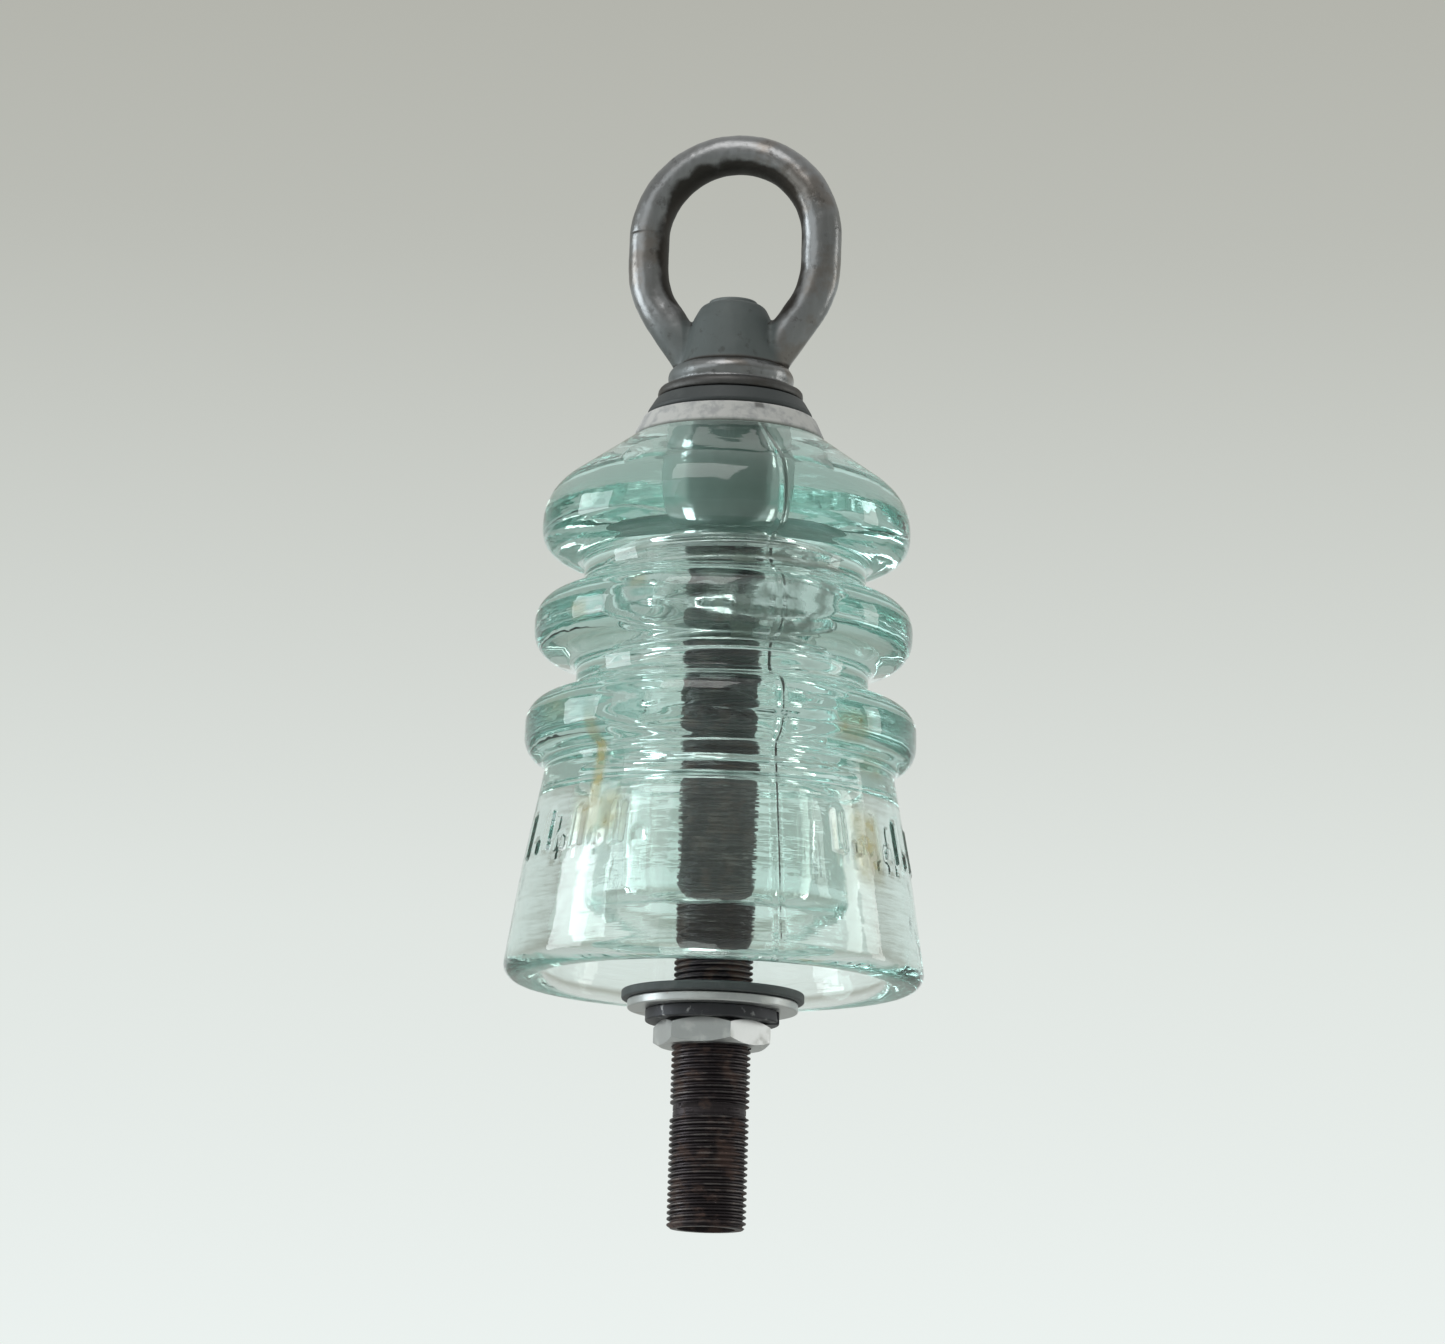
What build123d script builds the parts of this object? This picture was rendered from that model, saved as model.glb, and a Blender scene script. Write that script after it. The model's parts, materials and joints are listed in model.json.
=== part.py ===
"""Glass pin insulator fitted with a hanging stem, eye loop and shade nut.

Frame: +Z up along the stem, millimetres, origin on the axis in the plane of the glass base rim.
The eye loop lies in the XZ plane.
"""

import os
from math import cos, radians, sin, tan

from build123d import *

os.makedirs("parts", exist_ok=True)

# Driving dimensions --------------------------------------------------------------------

# stem: M13 x 1 lamp tube
STEM_R = 6.5
STEM_BORE_R = 4.75
STEM_TOP = 107.0
STEM_BOTTOM = -40.0
STEM_CHAMFER = 0.5
FREE_THREAD = 18.0  # free lower end, for a lampholder
RELIEF_WIDTH = 2.0
RELIEF_R = 6.0
THREAD_CLEARANCE = 0.05  # radial, between the stem and what screws on it
PLAIN_HOLE_R = 7.0  # washers and gaskets on the stem

# glass
BASE_RIM_R = 34.9
RIM_WALL = 6.9
CROWN_Z = 91.4
CROWN_R = 16.2
PINHOLE_TOP = 78.0
PINHOLE_BOTTOM = 33.0
PIN_THREAD_PITCH = 6.35
PIN_THREAD_DEPTH = 1.7
PIN_THREAD_ROUND = 2.0
PIN_CREST_TOP_R = 11.3
PIN_CREST_BOTTOM_R = 12.6
PIN_THREAD_TURNS = 6
PETTICOAT_R = 22.3
PETTICOAT_HOLE_R = 15.6
PETTICOAT_Z = 10.0
SKIRT_ROOT_Z = 31.0

# top stack, from the crown upwards
CROWN_WASHER_R = 16.2
CROWN_WASHER_TOP_R = 14.4
CROWN_WASHER_TOP = 95.2
LOOP_GASKET_R = 14.3
LOOP_GASKET_TOP_R = 12.4
LOOP_GASKET_TOP = 98.3

# eye loop: collar with a flange and a round bead, and a long ring of round bar on two legs
FLANGE_R = 12.2
FLANGE_TOP = 100.1
COLLAR_TOP = 103.9
BEAD_R = 10.6
BEAD_ROUND = 1.8
RING_BAR_R = 3.4
RING_R = 14.8
RING_Z = 126.5  # centre of the upper arch
RING_SIDE = 4.5  # straight side between the arch and the lower bends
LEG_ANGLE = 35.0  # from the vertical
LEG_FOOT_Z = 101.4

# hub: the cone between the ring's legs, bored for the stem below and the wire above
HUB_BASE_R = 8.8
HUB_SHOULDER_R = 6.7
HUB_SHOULDER_Z = 112.0
HUB_TOP_R = 5.3
HUB_TOP = 114.9
SOCKET_TOP = 107.4
WIRE_HOLE_R = 3.4

# plastic bushing in the wire hole
BUSHING_GAP = 0.05
BUSHING_LIP_R = 4.1
BUSHING_LIP = 0.7
CORD_HOLE_R = 2.6

# headless screw that locks the collar on the stem
SET_SCREW_R = 2.0
SET_SCREW_Z = 101.0
SCREW_GAP = 0.05
HEX_KEY_DEPTH = 1.6

# fasteners on the stem
NUT_FLATS = 17.0
NUT_THICK = 4.0
NUT_CHAMFER_ANGLE = 30
INNER_GASKET_R = 10.6
INNER_GASKET_THICK = 2.5
INNER_WASHER_R = 10.2
INNER_WASHER_THICK = 1.5
SHADE_PLATE = 1.2  # room for the shade's sheet-metal top
SHADE_GASKET_R = 15.0
SHADE_GASKET_THICK = 1.5
SHADE_WASHER_R = 14.0
SHADE_WASHER_THICK = 1.6
SPRING_WASHER_R = 11.0
SPRING_WASHER_THICK = 2.0
SPRING_GAP = 1.5
SPRING_GAP_ANGLE = 25

BORE_R = STEM_R + THREAD_CLEARANCE
NUT_CORNER_R = NUT_FLATS / 2 / cos(radians(30))


# Helpers -------------------------------------------------------------------------------


def export(piece, name):
    """Label a finished piece and write it as its own file."""
    piece.label = name
    export_step(piece, f"parts/{name}.step")


def flat_ring(bottom, thick, outer_r, hole_r, round_r=0.3):
    """A washer or gasket: a flat ring with lightly rounded outer edges."""
    with BuildPart() as ring:
        with BuildSketch(Plane.XY.offset(bottom)):
            Circle(outer_r)
        extrude(amount=thick)
        fillet(ring.edges().filter_by(GeomType.CIRCLE), round_r)
        with BuildSketch(Plane.XY.offset(bottom)):
            Circle(hole_r)
        extrude(amount=thick, mode=Mode.SUBTRACT)
    return ring.part


def hex_nut(bottom):
    """A thin hexagon nut, chamfered on both faces, bored to run on the stem."""
    crown = (NUT_CORNER_R - NUT_FLATS / 2) * tan(radians(NUT_CHAMFER_ANGLE))
    with BuildPart() as nut:
        with BuildSketch(Plane.XY.offset(bottom)):
            RegularPolygon(NUT_FLATS / 2, 6, major_radius=False)
        extrude(amount=NUT_THICK)
        with BuildSketch(Plane.XZ):
            with BuildLine():
                Polyline(
                    (0, bottom),
                    (NUT_FLATS / 2, bottom),
                    (NUT_CORNER_R, bottom + crown),
                    (NUT_CORNER_R, bottom + NUT_THICK - crown),
                    (NUT_FLATS / 2, bottom + NUT_THICK),
                    (0, bottom + NUT_THICK),
                    close=True,
                )
            make_face()
        revolve(axis=Axis.Z, mode=Mode.INTERSECT)
        with BuildSketch(Plane.XY.offset(bottom)):
            Circle(BORE_R)
        extrude(amount=NUT_THICK, mode=Mode.SUBTRACT)
    return nut.part


# Stem ----------------------------------------------------------------------------------

with BuildPart() as stem_tube:
    with BuildSketch(Plane.XY.offset(STEM_BOTTOM)):
        Circle(STEM_R)
    extrude(amount=STEM_TOP - STEM_BOTTOM)
    chamfer(stem_tube.edges().filter_by(GeomType.CIRCLE), STEM_CHAMFER)
    with BuildSketch(Plane.XY.offset(STEM_BOTTOM + FREE_THREAD)):
        Circle(STEM_R + 1)
        Circle(RELIEF_R, mode=Mode.SUBTRACT)
    extrude(amount=RELIEF_WIDTH, mode=Mode.SUBTRACT)
    with BuildSketch(Plane.XY.offset(STEM_BOTTOM)):
        Circle(STEM_BORE_R)
    extrude(amount=STEM_TOP - STEM_BOTTOM, mode=Mode.SUBTRACT)
export(stem_tube.part, "stem_tube")

# Glass shell ---------------------------------------------------------------------------

# Corners of the half section as (radius, height, corner round), from the crown hole
# down the outside, round the rim and up the inside.
GLASS_CORNERS = (
    (PLAIN_HOLE_R, CROWN_Z, 0.4),
    (CROWN_R, CROWN_Z, 1.0),
    (30.6, 81.2, 9.5),  # top lobe
    (30.6, 71.4, 4.2),
    (23.4, 70.8, 2.4),  # wire groove
    (23.4, 65.8, 2.4),
    (31.4, 62.9, 5.0),  # middle ridge
    (31.3, 54.4, 4.6),
    (24.2, 52.8, 2.2),  # second groove
    (24.2, 47.8, 2.2),
    (32.3, 46.0, 4.6),  # lower ridge
    (32.4, 37.6, 4.2),
    (28.7, 35.6, 1.6),  # skirt
    (32.1, 18.0, 80.0),
    (BASE_RIM_R, 0, 2.4),
    (BASE_RIM_R - RIM_WALL, 0, 2.6),
    (24.0, SKIRT_ROOT_Z, 2.0),  # rounded root between skirt and petticoat
    (19.2, SKIRT_ROOT_Z, 2.0),
    (PETTICOAT_R, PETTICOAT_Z, 2.6),
    (PETTICOAT_HOLE_R, PETTICOAT_Z, 2.4),
    (PETTICOAT_HOLE_R - 0.4, PINHOLE_BOTTOM, 2.0),
    (PIN_CREST_BOTTOM_R, PINHOLE_BOTTOM + 1.2, 0.8),
    (PIN_CREST_TOP_R, PINHOLE_TOP, 0.6),
    (PLAIN_HOLE_R, PINHOLE_TOP, 0.4),
)


def pin_crest_r(z):
    """Radius of the pinhole between its thread grooves; it tapers towards the crown."""
    share = (z - PINHOLE_BOTTOM) / (PINHOLE_TOP - PINHOLE_BOTTOM)
    return PIN_CREST_BOTTOM_R + share * (PIN_CREST_TOP_R - PIN_CREST_BOTTOM_R)


with BuildPart() as glass_shell:
    with BuildSketch(Plane.XZ):
        with BuildLine():
            FilletPolyline(
                *[(r, z) for r, z, _ in GLASS_CORNERS],
                radius=[corner for _, _, corner in GLASS_CORNERS],
                close=True,
            )
        make_face()
    revolve(axis=Axis.Z)
    with BuildSketch(Plane.XZ):
        for turn in range(PIN_THREAD_TURNS):
            groove_z = PINHOLE_BOTTOM + (turn + 0.75) * PIN_THREAD_PITCH
            groove_r = pin_crest_r(groove_z) + PIN_THREAD_DEPTH - PIN_THREAD_ROUND
            with Locations((groove_r, groove_z)):
                Circle(PIN_THREAD_ROUND)
    revolve(axis=Axis.Z, mode=Mode.SUBTRACT)
export(glass_shell.part, "glass_shell")

# Top stack: crown washer and loop gasket -----------------------------------------------

with BuildPart() as crown_washer:
    with BuildSketch(Plane.XZ):
        with BuildLine():
            FilletPolyline(
                (PLAIN_HOLE_R, CROWN_Z),
                (CROWN_WASHER_R, CROWN_Z),
                (CROWN_WASHER_TOP_R, CROWN_WASHER_TOP),
                (PLAIN_HOLE_R, CROWN_WASHER_TOP),
                radius=(0, 0.5, 0.8, 0),
                close=True,
            )
        make_face()
    revolve(axis=Axis.Z)
export(crown_washer.part, "crown_washer")

with BuildPart() as loop_gasket:
    with BuildSketch(Plane.XZ):
        with BuildLine():
            FilletPolyline(
                (PLAIN_HOLE_R, CROWN_WASHER_TOP),
                (LOOP_GASKET_R, CROWN_WASHER_TOP),
                (LOOP_GASKET_TOP_R, LOOP_GASKET_TOP),
                (PLAIN_HOLE_R, LOOP_GASKET_TOP),
                radius=(0, 0.7, 0.7, 0),
                close=True,
            )
        make_face()
    revolve(axis=Axis.Z)
export(loop_gasket.part, "loop_gasket")

# Eye loop ------------------------------------------------------------------------------

leg_tilt = radians(LEG_ANGLE)
bend_z = RING_Z - RING_SIDE
leg_top_x = RING_R * cos(leg_tilt)
leg_top_z = bend_z - RING_R * sin(leg_tilt)
leg_foot_x = leg_top_x - (leg_top_z - LEG_FOOT_Z) * tan(leg_tilt)
half_bend_x = RING_R * cos(leg_tilt / 2)
half_bend_z = bend_z - RING_R * sin(leg_tilt / 2)

with BuildPart() as ring_bar:
    with BuildLine(Plane.XZ) as ring_path:
        left_leg = Line((-leg_foot_x, LEG_FOOT_Z), (-leg_top_x, leg_top_z))
        left_bend = ThreePointArc(left_leg @ 1, (-half_bend_x, half_bend_z), (-RING_R, bend_z))
        left_side = Line(left_bend @ 1, (-RING_R, RING_Z))
        arch = ThreePointArc(left_side @ 1, (0, RING_Z + RING_R), (RING_R, RING_Z))
        right_side = Line(arch @ 1, (RING_R, bend_z))
        right_bend = ThreePointArc(right_side @ 1, (half_bend_x, half_bend_z), (leg_top_x, leg_top_z))
        Line(right_bend @ 1, (leg_foot_x, LEG_FOOT_Z))
    with BuildSketch(Plane(origin=left_leg @ 0, z_dir=left_leg % 0)):
        Circle(RING_BAR_R)
    sweep(path=ring_path.line)

with BuildPart() as eye_loop:
    with BuildSketch(Plane.XZ):
        with BuildLine():
            FilletPolyline(
                (0, LOOP_GASKET_TOP),
                (FLANGE_R, LOOP_GASKET_TOP),
                (FLANGE_R, FLANGE_TOP),
                (BEAD_R - BEAD_ROUND, FLANGE_TOP + 0.7),
                (BEAD_R - BEAD_ROUND, COLLAR_TOP),
                (0, COLLAR_TOP),
                radius=(0, 0.4, 0.9, 0.3, 0, 0),
                close=True,
            )
        make_face()
        with Locations((BEAD_R - BEAD_ROUND, COLLAR_TOP - BEAD_ROUND)):
            Circle(BEAD_ROUND)
        with BuildLine():
            FilletPolyline(
                (0, COLLAR_TOP - 1),
                (HUB_BASE_R, COLLAR_TOP - 1),
                (HUB_SHOULDER_R, HUB_SHOULDER_Z),
                (HUB_TOP_R, HUB_TOP),
                (0, HUB_TOP),
                radius=(0, 0, 2.0, 1.4, 0),
                close=True,
            )
        make_face()
    revolve(axis=Axis.Z)
    add(ring_bar.part)
    with BuildSketch(Plane.XY.offset(LOOP_GASKET_TOP)):
        Circle(BORE_R)
    extrude(amount=SOCKET_TOP - LOOP_GASKET_TOP, mode=Mode.SUBTRACT)
    with BuildSketch(Plane.XY.offset(SOCKET_TOP)):
        Circle(WIRE_HOLE_R)
    extrude(amount=HUB_TOP - SOCKET_TOP, mode=Mode.SUBTRACT)
    with BuildSketch(Plane.XZ):
        with Locations((0, SET_SCREW_Z)):
            Circle(SET_SCREW_R + SCREW_GAP)
    extrude(amount=-(FLANGE_R + 1), mode=Mode.SUBTRACT)
export(eye_loop.part, "eye_loop")

with BuildPart() as wire_bushing:
    with BuildSketch(Plane.XZ):
        with BuildLine():
            FilletPolyline(
                (CORD_HOLE_R, SOCKET_TOP + 1),
                (WIRE_HOLE_R - BUSHING_GAP, SOCKET_TOP + 1),
                (WIRE_HOLE_R - BUSHING_GAP, HUB_TOP),
                (BUSHING_LIP_R, HUB_TOP),
                (BUSHING_LIP_R, HUB_TOP + BUSHING_LIP),
                (CORD_HOLE_R, HUB_TOP + BUSHING_LIP),
                radius=(0, 0, 0, 0, 0.4, 0.4),
                close=True,
            )
        make_face()
    revolve(axis=Axis.Z)
export(wire_bushing.part, "wire_bushing")

# A headless screw along +Y at the back of the collar, with a hexagon key socket.
with BuildPart() as loop_set_screw:
    with BuildSketch(Plane.XZ.offset(-(BORE_R + 0.1))):
        with Locations((0, SET_SCREW_Z)):
            Circle(SET_SCREW_R)
    extrude(amount=-(BEAD_R - 0.7 - BORE_R))
    chamfer(loop_set_screw.edges().filter_by(GeomType.CIRCLE), 0.25)
    with BuildSketch(Plane.XZ.offset(-(BEAD_R - 0.6))):
        with Locations((0, SET_SCREW_Z)):
            RegularPolygon(SET_SCREW_R / 2, 6, major_radius=False)
    extrude(amount=HEX_KEY_DEPTH, mode=Mode.SUBTRACT)
export(loop_set_screw.part, "loop_set_screw")

# Inside the glass: gasket, washer and nut under the crown --------------------------------

inner_gasket_z = PINHOLE_TOP - INNER_GASKET_THICK
inner_washer_z = inner_gasket_z - INNER_WASHER_THICK
export(flat_ring(inner_gasket_z, INNER_GASKET_THICK, INNER_GASKET_R, PLAIN_HOLE_R), "inner_gasket")
export(flat_ring(inner_washer_z, INNER_WASHER_THICK, INNER_WASHER_R, PLAIN_HOLE_R), "inner_washer")
export(hex_nut(inner_washer_z - NUT_THICK), "inner_nut")

# Below the glass: gasket, washers and nut that hold a shade --------------------------------

shade_gasket_z = -SHADE_PLATE - SHADE_GASKET_THICK
shade_washer_z = shade_gasket_z - SHADE_WASHER_THICK
spring_washer_z = shade_washer_z - SPRING_WASHER_THICK
export(flat_ring(shade_gasket_z, SHADE_GASKET_THICK, SHADE_GASKET_R, PLAIN_HOLE_R), "shade_gasket")
export(flat_ring(shade_washer_z, SHADE_WASHER_THICK, SHADE_WASHER_R, PLAIN_HOLE_R), "shade_washer")

with BuildPart() as spring_washer:
    add(flat_ring(spring_washer_z, SPRING_WASHER_THICK, SPRING_WASHER_R, PLAIN_HOLE_R, 0.25))
    slit_x = (SPRING_WASHER_R + PLAIN_HOLE_R) / 2
    slit_z = spring_washer_z + SPRING_WASHER_THICK / 2
    slit_height = SPRING_WASHER_THICK * 2
    with Locations(Location((slit_x, 0, slit_z), (SPRING_GAP_ANGLE, 0, 0))):
        Box(SPRING_WASHER_R, SPRING_GAP, slit_height, mode=Mode.SUBTRACT)
export(spring_washer.part, "spring_washer")

export(hex_nut(spring_washer_z - NUT_THICK), "shade_nut")
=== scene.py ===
"""Finished looks for a glass pin insulator that hangs from an eye loop on a threaded stem.

Laid out as an add-on and run as a script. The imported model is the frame: lengths are metres,
+Z runs up the stem, and the plane of the glass base rim is z = 0. Azimuths are degrees round
the stem from the -Y side, growing towards +X. Patterns on the pieces are placed in millimetres.
"""

import json
import math

import bmesh
import bpy
from mathutils import Matrix, Vector

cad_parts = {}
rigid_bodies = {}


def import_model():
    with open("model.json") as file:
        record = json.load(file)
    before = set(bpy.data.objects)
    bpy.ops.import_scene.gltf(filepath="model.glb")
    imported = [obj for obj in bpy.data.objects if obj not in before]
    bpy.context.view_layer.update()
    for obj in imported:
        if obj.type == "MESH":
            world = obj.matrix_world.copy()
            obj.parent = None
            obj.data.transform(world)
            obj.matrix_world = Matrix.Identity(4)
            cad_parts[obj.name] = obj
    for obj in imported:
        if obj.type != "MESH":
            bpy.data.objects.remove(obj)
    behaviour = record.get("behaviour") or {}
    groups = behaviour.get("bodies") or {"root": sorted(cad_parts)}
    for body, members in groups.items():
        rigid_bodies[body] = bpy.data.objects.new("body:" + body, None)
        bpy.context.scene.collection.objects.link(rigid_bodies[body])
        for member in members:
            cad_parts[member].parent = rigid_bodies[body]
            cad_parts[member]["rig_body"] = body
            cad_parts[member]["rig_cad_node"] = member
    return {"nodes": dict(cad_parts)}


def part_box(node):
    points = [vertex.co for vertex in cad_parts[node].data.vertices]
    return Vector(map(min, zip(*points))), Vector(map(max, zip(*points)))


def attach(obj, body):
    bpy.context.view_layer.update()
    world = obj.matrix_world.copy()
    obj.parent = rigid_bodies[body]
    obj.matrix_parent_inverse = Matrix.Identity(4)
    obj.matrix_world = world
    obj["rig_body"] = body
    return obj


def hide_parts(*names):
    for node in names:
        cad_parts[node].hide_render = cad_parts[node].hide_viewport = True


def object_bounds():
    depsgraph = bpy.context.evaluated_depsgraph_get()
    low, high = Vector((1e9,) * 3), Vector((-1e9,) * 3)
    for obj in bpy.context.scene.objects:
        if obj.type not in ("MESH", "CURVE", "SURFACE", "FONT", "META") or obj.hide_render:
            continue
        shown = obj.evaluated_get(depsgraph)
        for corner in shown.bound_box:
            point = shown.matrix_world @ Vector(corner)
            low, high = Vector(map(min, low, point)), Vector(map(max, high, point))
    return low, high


bl_info = {
    "name": "Glass insulator hanger",
    "version": (1, 0, 0),
    "blender": (4, 5, 0),
    "location": "3D View > Sidebar > Insulator",
    "description": "Pressed glass insulator with stem, eye loop and fastenings, in finished materials",
    "category": "Object",
}

MM = 0.001
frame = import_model()
CAD_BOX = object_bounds()
CAD_MIDDLE = (CAD_BOX[0] + CAD_BOX[1]) / 2
NODES = frame["nodes"]
STEM_LOW, STEM_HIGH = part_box("stem_tube")
CROWN_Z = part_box("crown_washer")[0].z

FRONT = 12.0  # azimuth that faces the camera, with the ring's right side nearer

# Glass half section: (radius, height, corner round) in millimetres, from the crown hole
# down the outside, round the rim and up the inside to the pinhole's roof.
GLASS_CORNERS = (
    (7.0, 91.37, 0.4),  # a hair below the crown washer
    (16.2, 91.37, 1.0),
    (30.6, 81.2, 9.5),  # top lobe
    (30.6, 71.4, 4.2),
    (23.4, 70.8, 2.4),  # wire groove
    (23.4, 65.8, 2.4),
    (31.4, 62.9, 5.0),  # middle ridge
    (31.3, 54.4, 4.6),
    (24.2, 52.8, 2.2),  # second groove
    (24.2, 47.8, 2.2),
    (32.3, 46.0, 4.6),  # lower ridge
    (32.4, 37.6, 4.2),
    (28.7, 35.6, 1.6),  # skirt
    (32.1, 18.0, 80.0),
    (34.88, 0.0, 2.4),
    (28.0, 0.0, 2.6),
    (24.0, 31.0, 2.0),  # root between skirt and petticoat
    (19.2, 31.0, 2.0),
    (22.3, 10.0, 2.6),
    (15.6, 10.0, 2.4),
    (15.2, 33.0, 2.0),
    (12.6, 34.2, 0.8),
    (11.3, 78.03, 0.6),
    (7.0, 78.03, 0.4),
)
ROUND_STEP = math.radians(9)  # longest arc between points of a rounded corner
THREAD_SPACING, MARK_SPACING, PLAIN_SPACING = 0.6 * MM, 1.0 * MM, 3.5 * MM
WELD = 0.002 * MM

# Pin thread in the pinhole's wall
PINHOLE_LOW, PINHOLE_HIGH = 34.6 * MM, 77.0 * MM
PINHOLE_INNER_R, PINHOLE_OUTER_R = 9.0 * MM, 13.5 * MM
PIN_PITCH = 6.35 * MM
PIN_THREAD_FADE = 0.6 * PIN_PITCH  # where the thread runs out at both ends
PIN_THREAD_BLUNTNESS = 0.8

# Outer skin: above the skirt, all that lies outside the crown's edge, and below it, all that
# lies outside the middle of the skirt's wall, which narrows with height.
CROWN_EDGE_R = 16.6 * MM
SKIRT_TOP = 34 * MM
SKIRT_WALL_R, SKIRT_WALL_TAPER = 31.4 * MM, 0.155
MARKED_SKIN_R = 29 * MM

# Mould seams, in degrees and metres
SEAM_AZIMUTH = FRONT + 17.25  # one seam; the other is opposite
SEAM_HALF_WIDTH = 0.5
SEAM_SLOPE = 0.2 * MM

# Raised marks: two arcs of bars and dots by turns, in degrees and metres
MARK_ARC_STARTS = (FRONT - 75.75, FRONT + 38.25)
MARKS_PER_ARC = 8
MARK_STEP = 7.5
MARK_HALF_WIDTH = 2.0
MARK_LOW, BAR_TOP, DOT_TOP = 18.4 * MM, 25.6 * MM, 21.6 * MM
MARKED_LOW, MARKED_HIGH = 15 * MM, 29 * MM  # the skin between them is fine enough for marks
MARK_SLOPE = 0.5 * MM

# Eye loop casting
LOOP_VOXEL = 0.32 * MM
CAST_LUMP_SIZE = 3.5 * MM

# Stem thread
STEM_PITCH = 1.0 * MM
STEM_CREST_R, STEM_ROOT_R = 6.48 * MM, 5.92 * MM
STEM_THREAD_STEPS = 40
SPARE_TURNS = 4  # cut off at the ends


# Sizes and colours ---------------------------------------------------------------------


class GlassSettings(bpy.types.PropertyGroup):
    """The pressed glass shell."""

    segments: bpy.props.IntProperty(
        name="Segments", description="Steps round the shell", default=240, min=48, max=256
    )
    thread_depth: bpy.props.FloatProperty(
        name="Pin thread depth",
        description="How far the pin thread cuts into the pinhole's wall",
        default=1.6 * MM,
        unit="LENGTH",
        precision=5,
    )
    seam_height: bpy.props.FloatProperty(
        name="Seam height",
        description="How far the mould seams stand out",
        default=0.10 * MM,
        unit="LENGTH",
        precision=5,
    )
    mark_height: bpy.props.FloatProperty(
        name="Mark height",
        description="How far the raised marks on the skirt stand out",
        default=0.24 * MM,
        unit="LENGTH",
        precision=5,
    )
    tint: bpy.props.FloatVectorProperty(
        name="Tint",
        description="Colour that one wall of the glass gives to light",
        subtype="COLOR",
        default=(0.94, 0.98, 0.967),
        min=0,
        max=1,
    )
    deep_tint: bpy.props.FloatVectorProperty(
        name="Deep tint",
        description="Colour that the thick glass turns towards",
        subtype="COLOR",
        default=(0.25, 0.65, 0.585),
        min=0,
        max=1,
    )
    deep_density: bpy.props.FloatProperty(
        name="Deep density", description="How soon thick glass colours", default=12.0, min=0
    )
    stain: bpy.props.FloatVectorProperty(
        name="Stain",
        description="Colour of the rusty streaks",
        subtype="COLOR",
        default=(0.80, 0.62, 0.24),
        min=0,
        max=1,
    )


class MetalSettings(bpy.types.PropertyGroup):
    """The eye loop, the stem and the fastenings."""

    worn_steel: bpy.props.FloatVectorProperty(
        name="Worn steel",
        description="Colour of rubbed, shiny steel",
        subtype="COLOR",
        default=(0.26, 0.265, 0.27),
        min=0,
        max=1,
    )
    oxide: bpy.props.FloatVectorProperty(
        name="Oxide",
        description="Colour of the dull skin left by casting",
        subtype="COLOR",
        default=(0.085, 0.10, 0.10),
        min=0,
        max=1,
    )
    rust: bpy.props.FloatVectorProperty(
        name="Rust",
        description="Colour of the stem's light rust",
        subtype="COLOR",
        default=(0.065, 0.036, 0.03),
        min=0,
        max=1,
    )
    zinc: bpy.props.FloatVectorProperty(
        name="Zinc",
        description="Colour of dulled zinc plating",
        subtype="COLOR",
        default=(0.42, 0.43, 0.43),
        min=0,
        max=1,
    )
    casting_grain: bpy.props.FloatProperty(
        name="Casting grain",
        description="Depth of the loop's cast unevenness",
        default=0.22 * MM,
        unit="LENGTH",
        precision=5,
    )


class StageSettings(bpy.types.PropertyGroup):
    """Floor and camera."""

    floor_drop: bpy.props.FloatProperty(
        name="Floor drop",
        description="How far the floor lies below the glass base",
        default=0.95,
        unit="LENGTH",
    )
    lens: bpy.props.FloatProperty(
        name="Lens", description="Focal length of the camera in millimetres", default=138.0
    )
    lean: bpy.props.FloatProperty(
        name="Lean",
        description="How far the hanging object leans to the right in the view",
        default=math.radians(1.7),
        subtype="ANGLE",
    )


# Modelling helpers ---------------------------------------------------------------------


def around(azimuth, radius, height):
    """The point at an azimuth, radius and height."""
    a = math.radians(azimuth)
    return Vector((radius * math.sin(a), -radius * math.cos(a), height))


def deselect_all():
    """Nothing selected: the frame leaves its own nodes selected."""
    bpy.ops.object.select_all(action="DESELECT")


def make_active(piece):
    """Select one object only and make it the active one."""
    deselect_all()
    piece.select_set(True)
    bpy.context.view_layer.objects.active = piece


def apply_modifier(piece, kind, **settings):
    """Add a modifier with its settings and apply it."""
    make_active(piece)
    modifier = piece.modifiers.new(kind.title(), kind)
    for key, value in settings.items():
        setattr(modifier, key, value)
    bpy.ops.object.modifier_apply(modifier=modifier.name)


def longest_step(point):
    """The spacing that a point's part of the outline needs: fine at the thread and the marks."""
    r, z = point
    if r < PINHOLE_OUTER_R and PINHOLE_LOW < z < PINHOLE_HIGH:
        return THREAD_SPACING
    marked = r > MARKED_SKIN_R and MARKED_LOW < z < MARKED_HIGH
    return MARK_SPACING if marked else PLAIN_SPACING


def divide(start, end):
    """Points from start up to end, halved until none lies too far from the next."""
    middle = (start + end) / 2
    if (end - start).length <= longest_step(middle):
        return [start]
    return divide(start, middle) + divide(middle, end)


def rounded_outline(corners):
    """Points of a closed outline whose corners are rounded."""
    points = [Vector((r, z)) * MM for r, z, _ in corners]
    outline = []
    for i, point in enumerate(points):
        back = (points[i - 1] - point).normalized()
        ahead = (points[(i + 1) % len(points)] - point).normalized()
        half = back.angle(ahead) / 2
        radius = corners[i][2] * MM
        centre = point + (back + ahead).normalized() * radius / math.sin(half)
        tangent = radius / math.tan(half)
        start, end = point + back * tangent - centre, point + ahead * tangent - centre
        turn = -start.angle_signed(end)
        count = max(3, math.ceil(abs(turn) / ROUND_STEP))
        for k in range(count + 1):
            outline.append(centre + Matrix.Rotation(turn * k / count, 2) @ start)
    pairs = zip(outline, outline[1:] + outline[:1])
    return [point for a, b in pairs for point in divide(a, b)]


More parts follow.
